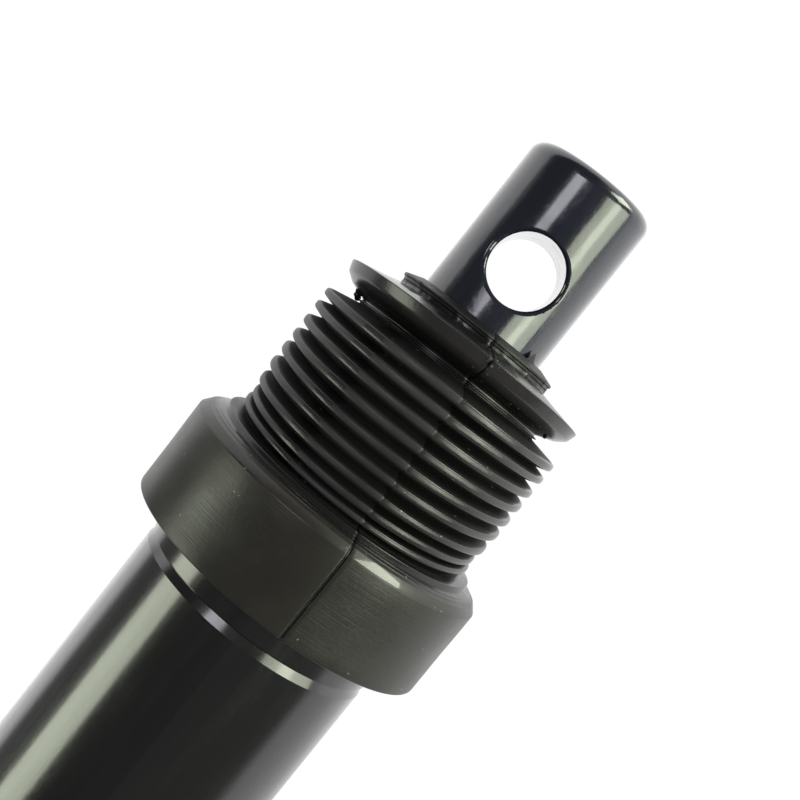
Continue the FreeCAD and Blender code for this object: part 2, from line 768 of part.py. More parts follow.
make_everything()
ram_pieces = finished_pieces()
check_pieces(ram_pieces)
os.makedirs("parts", exist_ok=True)
for ram_piece in ram_pieces:
    ram_piece.Shape.exportStep(f"parts/{ram_piece.Label}.step")
    print(f"{ram_piece.Label}: {len(ram_piece.Shape.Solids)} solid, {ram_piece.Shape.Volume:.1f} mm3")
print("rod pin at", round(value("rod_pin"), 3), "mm from the base eye")
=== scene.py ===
# %% [markdown]
# # A single acting ram with a rubber boot over its rod
#
# The ram is a painted steel cylinder. Oil pushes its rod out, and the load pushes it back. A moulded rubber
# boot keeps dirt off the rod where it leaves the barrel. The solid model comes from the frame, in metres,
# with the base eye at the origin and the rod end along +X. This lesson dresses it: it models the boot's
# worn and uneven skin, paints the steel, and sets up the light and the camera of a studio photograph.

# %% Load the frame
import math
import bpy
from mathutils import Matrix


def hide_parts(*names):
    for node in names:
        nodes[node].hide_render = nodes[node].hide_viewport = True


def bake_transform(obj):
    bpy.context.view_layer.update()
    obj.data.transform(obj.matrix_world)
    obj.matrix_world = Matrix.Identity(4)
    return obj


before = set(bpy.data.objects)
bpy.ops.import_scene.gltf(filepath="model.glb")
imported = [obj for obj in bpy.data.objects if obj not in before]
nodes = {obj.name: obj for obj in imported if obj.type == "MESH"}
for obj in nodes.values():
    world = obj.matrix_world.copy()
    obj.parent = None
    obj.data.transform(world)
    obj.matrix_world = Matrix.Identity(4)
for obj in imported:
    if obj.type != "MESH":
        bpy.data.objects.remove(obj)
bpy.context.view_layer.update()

from types import SimpleNamespace

import bpy
from mathutils import Matrix, Vector

MILLIMETRE = 0.001

# %% [markdown]
# ## Small tools for the bench
#
# An operator acts on everything that is selected, and the loaded nodes come in selected. So each piece
# starts with nothing selected. Points and faces are then picked in code, by where they lie. Places on the
# boot are told by three numbers: the station along the ram, the radius, and the angle round it, which is
# zero on top of the ram and grows towards the side with the box light.


# %% Selecting by place
def deselect_all():
    if bpy.context.object and bpy.context.object.mode != "OBJECT":
        bpy.ops.object.mode_set(mode="OBJECT")
    bpy.ops.object.select_all(action="DESELECT")


def make_active(piece):
    deselect_all()
    piece.select_set(True)
    bpy.context.view_layer.objects.active = piece


def around(place):
    """Station in mm, radius in mm, and angle in degrees of a place on the boot."""
    radius = math.hypot(place.y, place.z) / MILLIMETRE
    return place.x / MILLIMETRE, radius, math.degrees(math.atan2(-place.y, place.z))


def on_boot(station, radius, angle):
    """The opposite of around: the place in metres."""
    turn = math.radians(angle)
    return Vector((station, -radius * math.sin(turn), radius * math.cos(turn))) * MILLIMETRE


def between(value, table):
    """Reads a table of (value, result) pairs, with straight lines between its rows."""
    if value <= table[0][0]:
        return table[0][1]
    for (low, first), (high, second) in zip(table, table[1:]):
        if value <= high:
            return first + (second - first) * (value - low) / (high - low)
    return table[-1][1]


SMOOTH_DEGREES = 40


def finish_piece(piece):
    """Back to object mode, place put into the mesh, and soft shading except across real edges."""
    make_active(piece)
    bpy.ops.object.transform_apply(location=True, rotation=True, scale=True)
    bpy.ops.object.shade_smooth_by_angle(angle=math.radians(SMOOTH_DEGREES))


# %% [markdown]
# ## Turning a profile
#
# The boot's mould is turned on a lathe, so its skin is one outline spun about the rod's axis. The outline is
# a short list of corners, each with its station along the ram, its radius, and how far it is rounded.
# Another way is to stack rings and scale them, but then each rounding has to be made by hand.


# %% Round the corners of an outline
ARC_STEPS = 4


def rounded_outline(corners):
    """Turns corners of (station, radius, rounding), in mm, into points with an arc at each corner."""
    points = []
    for number, (station, radius, rounding) in enumerate(corners):
        here = Vector((station, radius))
        before = Vector(corners[number - 1][:2]) - here
        after = Vector(corners[(number + 1) % len(corners)][:2]) - here
        if rounding <= 0:
            points.append(here)
            continue
        half = before.angle(after) / 2
        reach = min(rounding / math.tan(half), 0.48 * before.length, 0.48 * after.length)
        start = here + before.normalized() * reach
        end = here + after.normalized() * reach
        for step in range(ARC_STEPS + 1):
            t = step / ARC_STEPS
            points.append(start * (1 - t) ** 2 + here * 2 * t * (1 - t) + end * t ** 2)
    return points


def turn_outline(name, points, steps):
    """Draws the outline by extruding one point, then spins it once round the X axis."""
    deselect_all()
    first = points[0] * MILLIMETRE
    bpy.ops.mesh.primitive_plane_add(size=MILLIMETRE, location=(first.x, 0, first.y))
    piece = bpy.context.active_object
    piece.name = piece.data.name = name
    bpy.ops.object.transform_apply(location=True)
    bpy.ops.object.mode_set(mode="EDIT")
    bpy.ops.mesh.merge(type="CENTER")
    for here, there in zip(points, points[1:] + points[:1]):
        step = (there - here) * MILLIMETRE
        bpy.ops.mesh.extrude_region_move(TRANSFORM_OT_translate={"value": (step.x, 0, step.y)})
    bpy.ops.mesh.select_all(action="SELECT")
    bpy.ops.mesh.remove_doubles(threshold=1e-6)
    bpy.ops.mesh.spin(steps=steps, angle=2 * math.pi, center=(0, 0, 0), axis=(1, 0, 0))
    bpy.ops.mesh.select_all(action="SELECT")
    bpy.ops.mesh.remove_doubles(threshold=1e-6)
    bpy.ops.mesh.normals_make_consistent(inside=False)
    return piece


# %% [markdown]
# ## The rubber boot
#
# One moulding: a round cuff gripped on the gland nut, a stepped shoulder, nine tight folds, one wide open
# fold and a small collar that wipes the rod. The folds of the real boot aren't evenly spaced, because
# storage has set them, so each has its own measured station.

# %% Outline of the boot
CUFF = [(226.3, 28.65, 0), (226.3, 36.7, 0.45), (229.0, 36.7, 0), (236.0, 36.66, 0), (243.0, 36.7, 0),
        (246.85, 36.7, 0.3), (248.6, 35.45, 0.12), (249.0, 34.5, 0.04), (249.12, 34.48, 0.03),
        (249.45, 33.6, 0.04), (249.57, 33.58, 0.03), (249.95, 32.3, 0.08), (251.35, 31.95, 0.4),
        (251.75, 28.8, 0.2)]
FOLDS = ((253.75, 29.9), (256.1, 29.6), (259.35, 30.2), (263.3, 30.5), (267.2, 30.5), (270.9, 30.5),
         (274.55, 30.5), (278.25, 30.5), (281.6, 30.5))
FOLD_ROOT, CREST_HALF = 27.0, 0.66
LAST_VALLEY = [(283.75, 23.4, 0.2), (284.0, 23.2, 0.1), (284.15, 23.95, 0.12), (284.35, 23.95, 0.12),
               (284.5, 23.2, 0.1)]
LIP = [(284.9, 23.2, 0.3), (286.3, 27.2, 1.2), (287.8, 29.3, 1.4), (290.05, 30.0, 0.2),
       (291.15, 24.0, 1.5), (292.5, 19.15, 0.3), (293.35, 19.15, 0.05), (293.5, 18.95, 0.05),
       (293.65, 19.15, 0.05), (294.3, 19.2, 0.1), (294.5, 19.55, 0.12), (294.95, 19.5, 0.2),
       (296.3, 15.9, 0.2)]
INSIDE = [(296.3, 15.3, 0), (291.5, 15.3, 0), (291.2, 18.2, 0), (289.5, 28.5, 0), (288.8, 28.3, 0),
          (285.4, 22.2, 0), (283.4, 22.2, 0)]
SLEEVE = [(249.8, 25.9, 0), (241.4, 25.9, 0), (241.4, 32.6, 0), (227.3, 32.6, 0), (227.3, 28.65, 0)]


def boot_outline():
    outer = list(CUFF)
    before = CUFF[-1][0]
    for station, crest in FOLDS:
        outer.append(((before + station) / 2, FOLD_ROOT, 0))
        outer.append((station - CREST_HALF, crest, 0.58))
        outer.append((station + CREST_HALF, crest, 0.58))
        before = station
    inner = []
    for station, crest in reversed(FOLDS):
        inner.append((station + 0.5, 25.9, 0))
        inner.append((station, crest - 1.5, 0))
        inner.append((station - 0.5, 25.9, 0))
    return rounded_outline(outer + LAST_VALLEY + LIP + INSIDE + inner + SLEEVE)


BOOT_STEPS = 240
outline = boot_outline()
boot = turn_outline("boot_skin", outline, BOOT_STEPS)
print("boot outline:", len(outline), "points;", len(boot.data.vertices), "in all")

# %% [markdown]
# ### The parting line
#
# The mould is in two halves, which leave a line along the boot. Planes through the axis cut extra points
# into the skin there, so a narrow groove can be pressed in without a finer mesh all the way round.

# %% Extra points along the parting line
PARTING = 10.0
CUT_REACH = 4
GROOVE_STEPS = (-0.8, -0.5, -0.2, 0.2, 0.5, 0.8)


def cut_along(angle):
    bpy.ops.mesh.select_all(action="DESELECT")
    bpy.ops.object.mode_set(mode="OBJECT")
    for face in boot.data.polygons:
        face.select = face.center.z > 0 and abs(around(face.center)[2] - PARTING) < CUT_REACH
    bpy.ops.object.mode_set(mode="EDIT")
    turn = math.radians(angle)
    bpy.ops.mesh.bisect(plane_co=(0, 0, 0), plane_no=(0, math.cos(turn), math.sin(turn)))


bpy.ops.mesh.select_mode(type="FACE")
for step in GROOVE_STEPS:
    cut_along(PARTING + step)
bpy.ops.object.mode_set(mode="OBJECT")
print("with the parting line:", len(boot.data.vertices), "points")

# %% [markdown]
# ### Setting the rubber
#
# Years under load leave the folds out of true. Each push below moves part of the skin: a weight for every
# point says how much, and a displace modifier does the moving. The top side of the middle folds sags
# towards the barrel, and the open fold bows towards the rod.


# %% Pushing the skin
def push(name, weight_at, direction, distance):
    """Moves the boot's skin by a distance in mm along a direction, times the weight at each point."""
    group = boot.vertex_groups.new(name=name)
    for point in boot.data.vertices:
        weight = weight_at(*around(point.co))
        if weight > 0.002:
            group.add([point.index], min(weight, 1.0), "REPLACE")
    make_active(boot)
    modifier = boot.modifiers.new(name, "DISPLACE")
    modifier.direction = direction
    modifier.mid_level = 0.0
    modifier.strength = distance * MILLIMETRE
    modifier.vertex_group = name
    bpy.ops.object.modifier_apply(modifier=name)
    boot.vertex_groups.remove(boot.vertex_groups[name])


SAG = ((249.5, 0), (250.5, -0.3), (253.7, -1.7), (256.1, -1.5), (259.4, -1.45), (263.3, -1.5), (267.2, -1.4),
       (270.9, -1.05), (274.5, -0.35), (278.3, -0.1), (281.5, 0.3), (284.3, 1.3), (288.5, 2.3), (291.5, 2.2),
       (292.6, 1.2), (296.3, 0.3))
MOST = 2.3
SKIN = ((248, 34.5), (250.9, 26.8), (283, 26.8), (284, 22.9), (290, 19.0), (296, 15.7))
GROOVE_DEPTH = ((246, 1.0), (249, 0.7), (251, 0.12), (283, 0.12), (286, 0.5))
GROOVE_HALF_DEGREES = 0.8
TORN = ((292.4, 0), (293.2, 1), (295.4, 1), (296, 0))


def top_side(angle):
    return max(0.0, math.cos(math.radians(angle)))


def ripple(station, angle):
    """A slow unevenness of the folds, between 0 and 1."""
    broad = math.sin(math.radians(angle * 3 + station * 31))
    fine = 0.6 * math.sin(math.radians(angle * 7 - station * 47))
    return 0.5 + (broad + fine) / 3.2


def on_folds(station):
    return between(station, ((250.9, 0), (253, 1), (282, 1), (284, 0)))


def groove(station, radius, angle):
    """Depth of the parting line's groove, a V on the outer skin only; it is shallow on the folds."""
    if radius <= between(station, SKIN):
        return 0.0
    depth = between(station, GROOVE_DEPTH)
    return depth * max(0.0, 1 - abs(angle - PARTING) / GROOVE_HALF_DEGREES)


def ragged(station, radius, angle):
    """Torn edge of the collar: quick uneven waves round its two bands."""
    wave = math.sin(math.radians(angle * 19)) + math.sin(math.radians(angle * 31 + station * 90))
    return max(0.0, wave / 2) * between(station, TORN) * (radius > 17)


push("sag", lambda x, r, a: max(0, -between(x, SAG)) / MOST * top_side(a), "X", -MOST)
push("bow", lambda x, r, a: max(0, between(x, SAG)) / MOST * top_side(a), "X", MOST)
push("ripple", lambda x, r, a: on_folds(x) * ripple(x, a), "X", 0.22)
push("halves", lambda x, r, a: on_folds(x) * between(a, ((9.8, 0), (10.2, 1), (60, 0))), "X", -0.14)
push("swell", lambda x, r, a: between(x, ((230, 0), (245, 1), (247.5, 1), (248.6, 0))) * top_side(a * 0.8)
     * (r > 34), "NORMAL", 0.4)
push("groove", groove, "NORMAL", -0.35)
push("ragged", ragged, "NORMAL", 0.17)
for corner in (boot.bound_box[0], boot.bound_box[6]):
    print("boot set, corner of its box:", tuple(round(value, 4) for value in corner))

# %% [markdown]
# ### Flash and crumbs
#
# Where the mould leaked, thin flakes of rubber stick out: at the parting line on the open fold and at the
# ends of its valley. Each is a little ball squeezed and shaken out of shape. A torn tongue also stands up
# from the collar, a flattened cone.

# %% Flakes of flash
FLAKES = (
    (291.9, 29.9, 8.5, (0.5, 0.35, 0.35), 0.20), (291.1, 30.0, 10.5, (0.35, 0.45, 0.4), 0.22),
    (290.3, 29.6, 9.0, (0.3, 0.3, 0.3), 0.18), (292.3, 29.3, 11.5, (0.4, 0.3, 0.3), 0.18),
    (289.4, 28.8, 12.0, (0.3, 0.35, 0.25), 0.15), (288.8, 28.2, 6.0, (0.25, 0.3, 0.3), 0.15),
    (284.9, 24.6, -84.0, (0.9, 0.8, 0.9), 0.45), (285.6, 25.0, -80.0, (0.6, 0.5, 0.7), 0.35),
    (284.3, 24.3, -88.0, (0.6, 0.5, 0.6), 0.30), (286.3, 26.0, 68.0, (0.35, 0.3, 0.5), 0.25),
)


def add_flake(number, station, radius, angle, size, shake):
    deselect_all()
    place = on_boot(station, radius, angle)
    bpy.ops.mesh.primitive_ico_sphere_add(subdivisions=2, radius=MILLIMETRE, location=place)
    flake = bpy.context.active_object
    flake.name = f"flake_{number}"
    flake.rotation_euler.x = math.radians(angle)
    flake.scale = size
    bpy.ops.object.transform_apply(location=True, rotation=True, scale=True)
    bpy.ops.object.mode_set(mode="EDIT")
    bpy.ops.mesh.select_all(action="SELECT")
    bpy.ops.transform.vertex_random(offset=shake * MILLIMETRE, seed=number)
    bpy.ops.object.mode_set(mode="OBJECT")
    return flake


THORN_PLACE = (297.0, 15.75, 50.0)
THORN_SIZE = (3.0, 2.4, 0.5)


def add_thorn():
    """A torn tongue of rubber that stands up from the collar along the rod, ending in a point."""
    deselect_all()
    bpy.ops.mesh.primitive_cone_add(vertices=7, radius1=MILLIMETRE, radius2=0, depth=MILLIMETRE,
                                    rotation=(0, math.pi / 2, 0))
    thorn = bpy.context.active_object
    bpy.ops.object.transform_apply(rotation=True)
    thorn.scale = THORN_SIZE
    bpy.ops.object.transform_apply(scale=True)
    thorn.rotation_euler.x = math.radians(THORN_PLACE[2])
    thorn.location = on_boot(*THORN_PLACE)
    bpy.ops.object.transform_apply(location=True, rotation=True)
    bpy.ops.object.mode_set(mode="EDIT")
    bpy.ops.mesh.select_all(action="SELECT")
    bpy.ops.transform.vertex_random(offset=0.15 * MILLIMETRE, seed=5)
    bpy.ops.object.mode_set(mode="OBJECT")
    return thorn


flakes = [add_flake(number, *flake) for number, flake in enumerate(FLAKES, start=1)] + [add_thorn()]
make_active(boot)
for flake in flakes:
    flake.select_set(True)
bpy.ops.object.join()
finish_piece(boot)
print("boot with flakes:", len(boot.data.polygons), "faces")
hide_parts("rubber_boot")

# %% [markdown]
# ## Materials
#
# Every finish reads the object's own coordinates, so its grain stays on the metal when the ram moves.


# %% A small kit for building materials
def new_tree(name):
    material = bpy.data.materials.new(name)
    material.use_nodes = True
    tree = material.node_tree
    shader = tree.nodes["Principled BSDF"]
    return material, tree, shader


def add(tree, kind, **settings):
    """Adds a node and sets its properties by name."""
    node = tree.nodes.new(kind)
    for name, setting in settings.items():
        setattr(node, name, setting)
    return node


def feed(tree, source, target):
    """Links a socket, or sets a plain number or colour."""
    if isinstance(source, (int, float, tuple)):
        target.default_value = source
        return
    tree.links.new(source, target)


def maths(tree, operation, first, second=0.0, third=0.0):
    node = add(tree, "ShaderNodeMath", operation=operation)
    for socket, source in zip(node.inputs, (first, second, third)):
        feed(tree, source, socket)
    return node.outputs[0]


def noise(tree, vector, scale, detail):
    node = add(tree, "ShaderNodeTexNoise")
    feed(tree, vector, node.inputs["Vector"])
    node.inputs["Scale"].default_value = scale
    node.inputs["Detail"].default_value = detail
    node.inputs["Roughness"].default_value = 0.55
    return node.outputs["Fac"]


def ramp(tree, source, low, high, from_value=0.0, to_value=1.0):
    node = add(tree, "ShaderNodeMapRange", interpolation_type="SMOOTHSTEP")
    feed(tree, source, node.inputs["Value"])
    for name, number in (("From Min", low), ("From Max", high), ("To Min", from_value), ("To Max", to_value)):
        node.inputs[name].default_value = number
    return node.outputs["Result"]


def mix_colours(tree, share, first, second):
    node = add(tree, "ShaderNodeMix", data_type="RGBA")
    feed(tree, share, node.inputs[0])
    feed(tree, first, node.inputs[6])
    feed(tree, second, node.inputs[7])
    return node.outputs[2]


def split_place(tree, place):
    """The three numbers of a place: along the ram, across it and up."""
    node = add(tree, "ShaderNodeSeparateXYZ")
    feed(tree, place, node.inputs[0])
    return node.outputs


def stretch(tree, vector, scale):
    node = add(tree, "ShaderNodeMapping")
    feed(tree, vector, node.inputs["Vector"])
    node.inputs["Scale"].default_value = scale
    return node.outputs["Vector"]


def bump(tree, shader, height, distance):
    node = add(tree, "ShaderNodeBump")
    node.inputs["Distance"].default_value = distance
    feed(tree, height, node.inputs["Height"])
    feed(tree, node.outputs["Normal"], shader.inputs["Normal"])


def wear(piece, material):
    piece.data.materials.clear()
    piece.data.materials.append(material)


# %% [markdown]
# ### Gloss black paint
#
# Sprayed enamel is never flat: it dries with a fine orange peel, which breaks up every reflection. The peel
# is a group, since the barrel and the rod share it. A clear coat over the black makes the steep sides of
# the tubes pick up the white ground, as lacquer does. The ripples of a weld are a group too.


# %% Orange peel and weld ripples, as groups
def new_group(name, **inputs):
    """A node group with named numbers going in and one height coming out."""
    group = bpy.data.node_groups.new(name, "ShaderNodeTree")
    for socket, number in inputs.items():
        entry = group.interface.new_socket(socket, in_out="INPUT", socket_type="NodeSocketFloat")
        entry.default_value = number
    group.interface.new_socket("Height", in_out="OUTPUT", socket_type="NodeSocketFloat")
    given = group.nodes.new("NodeGroupInput").outputs
    result = group.nodes.new("NodeGroupOutput").inputs["Height"]
    place = add(group, "ShaderNodeTexCoord").outputs["Object"]
    return group, given, result, place


def orange_peel_group():
    group, given, result, place = new_group("orange_peel", Grain=620.0)
    fine = add(group, "ShaderNodeTexNoise")
    feed(group, place, fine.inputs["Vector"])
    feed(group, given["Grain"], fine.inputs["Scale"])
    fine.inputs["Detail"].default_value = 2.0
    broad = noise(group, place, 130.0, 2.0)
    feed(group, maths(group, "MULTIPLY_ADD", broad, 1.6, fine.outputs["Fac"]), result)
    return group


def weld_ripples_group():
    """The scales of a weld bead: small waves that follow each other round the seam, under the paint."""
    group, given, result, place = new_group("weld_ripples", Turn=0.0, Ripples=88.0)
    shift = maths(group, "MULTIPLY", noise(group, place, 160.0, 2.0), 5.0)
    wave = maths(group, "MULTIPLY_ADD", given["Turn"], given["Ripples"], shift)
    feed(group, maths(group, "SINE", wave), result)
    return group


orange_peel = orange_peel_group()
weld_ripples = weld_ripples_group()
print("groups:", [group.name for group in (orange_peel, weld_ripples)])

# %% [markdown]
# Two kinds of marks lie under the paint: the ripples of the weld beads, and a shallow dish round the rod's
# hole. Each is a height that is added to the orange peel.

# %% Marks under the paint
PORT_STATION = 0.043
HOLE_STATION = 0.310


def bead(tree, turn, ripples):
    """The ripples of one weld, from the turn round its seam and their number."""
    node = add(tree, "ShaderNodeGroup", node_tree=weld_ripples)
    feed(tree, turn, node.inputs["Turn"])
    feed(tree, ripples, node.inputs["Ripples"])
    return node.outputs["Height"]


def base_bead(tree, place):
    """The seam between base and barrel, round the ram's axis."""
    _, across, up = split_place(tree, place)
    return bead(tree, maths(tree, "ARCTAN2", across, up), 88.0)


def port_bead(tree, place):
    """The seam round the port's boss."""
    along, across, _ = split_place(tree, place)
    return bead(tree, maths(tree, "ARCTAN2", across, maths(tree, "SUBTRACT", along, PORT_STATION)), 40.0)


def hole_dish(tree, place):
    """The rod's skin sinks a little towards the hole, where the paint pulled back from the edge."""
    along, across, _ = split_place(tree, place)
    off = maths(tree, "SUBTRACT", along, HOLE_STATION)
    squares = maths(tree, "MULTIPLY_ADD", off, off, maths(tree, "MULTIPLY", across, across))
    return ramp(tree, maths(tree, "SQRT", squares), 0.0075, 0.0125)


def gloss_paint(name, colour, warm_colour, peel, dullness, mark=None, depth=0.0):
    """Black paint with its peel in metres, and, where given, a mark under it with its depth in peels."""
    material, tree, shader = new_tree(name)
    place = add(tree, "ShaderNodeTexCoord").outputs["Object"]
    cloud = noise(tree, place, 60.0, 4.0)
    feed(tree, mix_colours(tree, cloud, colour, warm_colour), shader.inputs["Base Color"])
    streaks = noise(tree, stretch(tree, place, (25.0, 220.0, 220.0)), 1.0, 4.0)
    feed(tree, ramp(tree, streaks, 0.35, 0.75, dullness, dullness + 0.14), shader.inputs["Roughness"])
    shader.inputs["Coat Weight"].default_value = 1.0
    shader.inputs["Coat Roughness"].default_value = 0.13
    shader.inputs["Coat IOR"].default_value = 1.65
    group = add(tree, "ShaderNodeGroup", node_tree=orange_peel)
    height = group.outputs["Height"]
    if mark:
        height = maths(tree, "MULTIPLY_ADD", mark(tree, place), depth, height)
    bump(tree, shader, height, peel)
    return material


BLACK, WARM_BLACK = (0.004, 0.005, 0.005, 1), (0.008, 0.0085, 0.007, 1)
NAVY, LIGHT_NAVY = (0.006, 0.008, 0.021, 1), (0.012, 0.014, 0.030, 1)
barrel_paint = gloss_paint("gloss_black_barrel", BLACK, WARM_BLACK, 0.00003, 0.20)
rod_paint = gloss_paint("gloss_black_rod", NAVY, LIGHT_NAVY, 0.00007, 0.18, hole_dish, 4.5)
forging_paint = gloss_paint("gloss_black_forging", BLACK, WARM_BLACK, 0.00012, 0.26)
seam_paint = gloss_paint("gloss_black_seam", BLACK, WARM_BLACK, 0.00010, 0.20, base_bead, 1.5)
port_seam_paint = gloss_paint("gloss_black_port_seam", BLACK, WARM_BLACK, 0.00010, 0.20, port_bead, 1.5)
for name in ("barrel_tube", "gland_nut", "port_boss"):
    wear(nodes[name], barrel_paint)
for name, paint in (("base_lug", forging_paint), ("base_weld", seam_paint), ("port_weld", port_seam_paint),
                    ("rod", rod_paint)):
    wear(nodes[name], paint)
print("paints:", [finish.name for finish in bpy.data.materials if finish.name.startswith("gloss_black")])

# %% [markdown]
# ### Moulded rubber
#
# The rubber is almost black. The cuff was turned smooth in the mould and shows fine lines round it, the
# crests are rubbed lighter, and painted shade makes the valleys between the folds, the undercut of the open
# fold and the parting line's groove near black. Radius, station and angle tell these places apart, so they
# are worked out once and then used for colour, shine, roughness and relief.


# %% Places on the boot
def within(tree, value, low, high, soft):
    """One between the two limits and nought outside them, with soft edges."""
    rise = ramp(tree, value, low - soft, low + soft)
    fall = ramp(tree, value, high + soft, high - soft)
    return maths(tree, "MULTIPLY", rise, fall)


LIP_BOW = 0.0022


def boot_places(tree):
    """Measures and masks that tell the boot's parts apart."""
    place = add(tree, "ShaderNodeTexCoord").outputs["Object"]
    along, across, up = split_place(tree, place)
    squares = maths(tree, "MULTIPLY_ADD", up, up, maths(tree, "MULTIPLY", across, across))
    # The first folds are a little lower, so their radius counts for more and their crests stay rubbed too.
    low_folds = ramp(tree, along, 0.2585, 0.2575, 0.0, 0.0006)
    radius = maths(tree, "ADD", maths(tree, "SQRT", squares), low_folds)
    angle = maths(tree, "ARCTAN2", maths(tree, "MULTIPLY", across, -1.0), up)
    on_folds = within(tree, along, 0.2510, 0.2848, 0.0004)
    crest = ramp(tree, radius, 0.0292, 0.0300)
    # The sides and floors of the folds' valleys, which the colour paints near black as shade.
    valley = maths(tree, "MULTIPLY", on_folds, maths(tree, "SUBTRACT", 1.0, crest))
    wander = maths(tree, "MULTIPLY_ADD", noise(tree, place, 420.0, 3.0), 0.018, angle)
    off_line = maths(tree, "ABSOLUTE", maths(tree, "SUBTRACT", wander, math.radians(PARTING) + 0.009))
    off_folds = maths(tree, "SUBTRACT", 1.0, on_folds)
    # The parting line's groove: the colour paints it near black as shade, and the bump presses it in.
    line = maths(tree, "MULTIPLY", ramp(tree, off_line, 0.0105, 0.0035), off_folds)
    bow = maths(tree, "MULTIPLY", maths(tree, "MAXIMUM", maths(tree, "DIVIDE", up, radius), 0.0), LIP_BOW)
    return SimpleNamespace(
        place=place, along=along, radius=radius, angle=angle, cloud=noise(tree, place, 90.0, 5.0),
        on_cuff=ramp(tree, along, 0.2496, 0.2488), on_folds=on_folds, valley=valley, line=line,
        unbowed=maths(tree, "SUBTRACT", along, bow))


# %% Boot rubber
def boot_colour(tree, on):
    """Warm cuff, lighter rubbed crests, specks of dust, and painted shade: black valleys, undercut and
    groove.
    """
    tint = mix_colours(tree, on.cloud, (0.021, 0.0190, 0.0175, 1), (0.036, 0.0325, 0.0270, 1))
    rubbed = mix_colours(tree, on.cloud, (0.018, 0.0165, 0.0190, 1), (0.034, 0.031, 0.034, 1))
    towards_rod = ramp(tree, on.along, 0.266, 0.280, 0.0, 0.6)
    rubbed = mix_colours(tree, towards_rod, rubbed, (0.052, 0.048, 0.052, 1))
    lip_face = mix_colours(tree, on.cloud, (0.024, 0.022, 0.025, 1), (0.044, 0.040, 0.042, 1))
    on_lip = within(tree, on.radius, 0.0281, 0.0310, 0.0010)
    # Off the open fold's rim band the rubber is near black: painted shade in the undercut below the fold, and
    # on the collar.
    collar_and_undercut_shade = mix_colours(tree, on_lip, (0.010, 0.010, 0.010, 1), lip_face)
    base = mix_colours(tree, on.on_folds, mix_colours(tree, on.on_cuff, collar_and_undercut_shade, tint), rubbed)
    # Painted shade: the valleys between the folds are near black.
    base = mix_colours(tree, on.valley, base, (0.0012, 0.0012, 0.0012, 1))
    dots = add(tree, "ShaderNodeTexVoronoi", feature="F1")
    feed(tree, on.place, dots.inputs["Vector"])
    dots.inputs["Scale"].default_value = 420.0
    dust = maths(tree, "MULTIPLY", ramp(tree, dots.outputs["Distance"], 0.11, 0.06),
                 ramp(tree, noise(tree, on.place, 300.0, 1.0), 0.55, 0.61))
    base = mix_colours(tree, dust, base, (0.30, 0.30, 0.26, 1))
    # Painted shade: the parting line's groove is near black.
    return mix_colours(tree, on.line, base, (0.001, 0.001, 0.001, 1))


def boot_shine(tree, on):
    """Polished places: a strip on the cuff's edge beside the parting line, and the open fold's upper face."""
    strip = within(tree, on.angle, math.radians(PARTING + 0.8), math.radians(29.5), 0.008)
    polished = maths(tree, "MULTIPLY", within(tree, on.along, 0.24700, 0.24860, 0.0001), strip)
    top_face = within(tree, on.unbowed, 0.29000, 0.29245, 0.0001)
    left_side = ramp(tree, on.angle, math.radians(-15), math.radians(-35), 0.0, 0.5)
    return maths(tree, "MULTIPLY_ADD", top_face, left_side, polished)


def boot_roughness(tree, on):
    """Rougher on the cuff, the collar and in the valleys, and on two stretches of the folds."""
    matt = ramp(tree, on.cloud, 0.3, 0.7, 0.18, 0.26)
    matt = maths(tree, "MULTIPLY_ADD", on.on_cuff, 0.12, matt)
    matt = maths(tree, "MULTIPLY_ADD", ramp(tree, on.unbowed, 0.2924, 0.2926), 0.22, matt)
    far_side = ramp(tree, on.angle, math.radians(-35.5), math.radians(-38.0))
    near_side = within(tree, on.angle, math.radians(-26.0), math.radians(PARTING), 0.02)
    dull = maths(tree, "MULTIPLY", maths(tree, "ADD", far_side, near_side), on.on_folds)
    matt = maths(tree, "MULTIPLY_ADD", dull, 0.20, matt)
    return maths(tree, "MULTIPLY_ADD", on.valley, 0.35, matt)


def boot_relief(tree, on):
    """Lines round the cuff from turning the mould, a fine grain, and the dent of the parting line."""
    turning = noise(tree, stretch(tree, on.place, (2600.0, 30.0, 30.0)), 1.0, 3.0)
    patches = ramp(tree, noise(tree, on.place, 70.0, 2.0), 0.35, 0.65, 0.2, 0.9)
    turning = maths(tree, "MULTIPLY", maths(tree, "MULTIPLY", turning, on.on_cuff), patches)
    height = maths(tree, "MULTIPLY_ADD", noise(tree, on.place, 1100.0, 3.0), 0.5, turning)
    return maths(tree, "MULTIPLY_ADD", on.line, -4.0, height)


def boot_rubber():
    material, tree, shader = new_tree("boot_rubber")
    on = boot_places(tree)
    feed(tree, boot_colour(tree, on), shader.inputs["Base Color"])
    feed(tree, boot_shine(tree, on), shader.inputs["Coat Weight"])
    feed(tree, boot_roughness(tree, on), shader.inputs["Roughness"])
    shader.inputs["Coat Roughness"].default_value = 0.08
    shader.inputs["Specular IOR Level"].default_value = 0.6
    bump(tree, shader, boot_relief(tree, on), 0.00005)
    return material


wear(boot, boot_rubber())
print("boot rubber:", len(boot.data.materials[0].node_tree.nodes), "nodes")

# %% [markdown]
# ### Inner pieces
#
# Steel and bronze show the lines of the lathe, so their grain is drawn out round the axis. The seals are
# plain black rubber.


# %% Inner pieces
def plain_grain(name, colour, second, rough, metallic=0.0, lines=(900.0, 900.0, 900.0)):
    material, tree, shader = new_tree(name)
    place = add(tree, "ShaderNodeTexCoord").outputs["Object"]
    grain = noise(tree, stretch(tree, place, lines), 1.0, 4.0)
    feed(tree, mix_colours(tree, grain, colour, second), shader.inputs["Base Color"])
    feed(tree, ramp(tree, grain, 0.3, 0.7, rough, rough + 0.12), shader.inputs["Roughness"])
    shader.inputs["Metallic"].default_value = metallic
    bump(tree, shader, grain, 0.00001)
    return material


